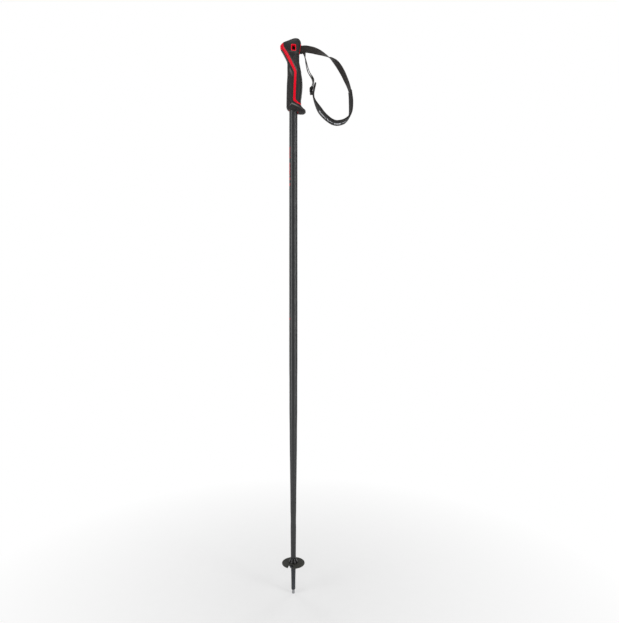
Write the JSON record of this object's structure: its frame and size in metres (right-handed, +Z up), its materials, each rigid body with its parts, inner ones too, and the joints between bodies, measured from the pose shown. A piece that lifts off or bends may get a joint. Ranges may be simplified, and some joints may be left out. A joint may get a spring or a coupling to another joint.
{
  "type": "alpine ski pole",
  "caption": "Alpine ski pole with a stepped tapered tube, two-colour moulded grip, padded wrist strap, small round basket, ferrule and steel tip.",
  "frame": {"origin": "centre of the steel tip's end face", "axes": "+Z up the pole to the grip, +X towards the palm side and the strap, +Y across the grip"},
  "size_m": [0.1581, 0.049, 1.2],
  "materials": {
    "tube": "satin charcoal lacquer on aluminium",
    "core": "satin",
    "cover": "matte soft-touch",
    "inset": "fine grained",
    "block": "matte",
    "steel": "plain",
    "webbing": "ribbed woven polyamide",
    "slider": "matte",
    "pad": "smooth woven",
    "lining": "brushed",
    "piping": "ribbed tape",
    "reflector": "reflective film",
    "stitching": "thread",
    "basket": "satin",
    "hub": "gloss",
    "ferrule": "satin",
    "tip": "ground"
  },
  "bodies": {
    "pole": {"shaft": "tube", "grip_core": "core", "finger_cover": "cover", "palm_cover": "cover", "palm_inset": "inset", "strap_block": "block", "strap_block_pin": "steel", "strap_root_webbing": "webbing", "tip_ferrule": "ferrule", "steel_tip": "tip"},
    "strap": {"strap_upper_leg": "webbing", "strap_lower_leg": "webbing", "strap_tail": "webbing", "slider_tab": "webbing", "pad_shell": "pad", "pad_lining": "lining", "pad_piping": "piping", "pad_reflector": "reflector", "seam_stitching": "stitching"},
    "slider": {"slider": "slider"},
    "basket": {"basket_disc": "basket", "basket_hub": "hub"}
  },
  "joints": [
    {"name": "strap_swing", "type": "hinge", "parent": "pole", "child": "strap", "pos_m": [0.0255, 0, 1.177], "axis": [0, -1, 0], "range_deg": [0, 90], "deforming": ["strap_upper_leg", "strap_lower_leg"]},
    {"name": "slider_tilt", "type": "hinge", "parent": "strap", "child": "slider", "pos_m": [0.0378, 0, 1.0846], "axis": [0, -1, 0], "range_deg": [0, 35], "deforming": ["strap_tail"]},
    {"name": "basket_spin", "type": "hinge", "parent": "pole", "child": "basket", "pos_m": [0, 0, 0.0664], "axis": [0, 0, 1], "continuous": true}
  ]
}
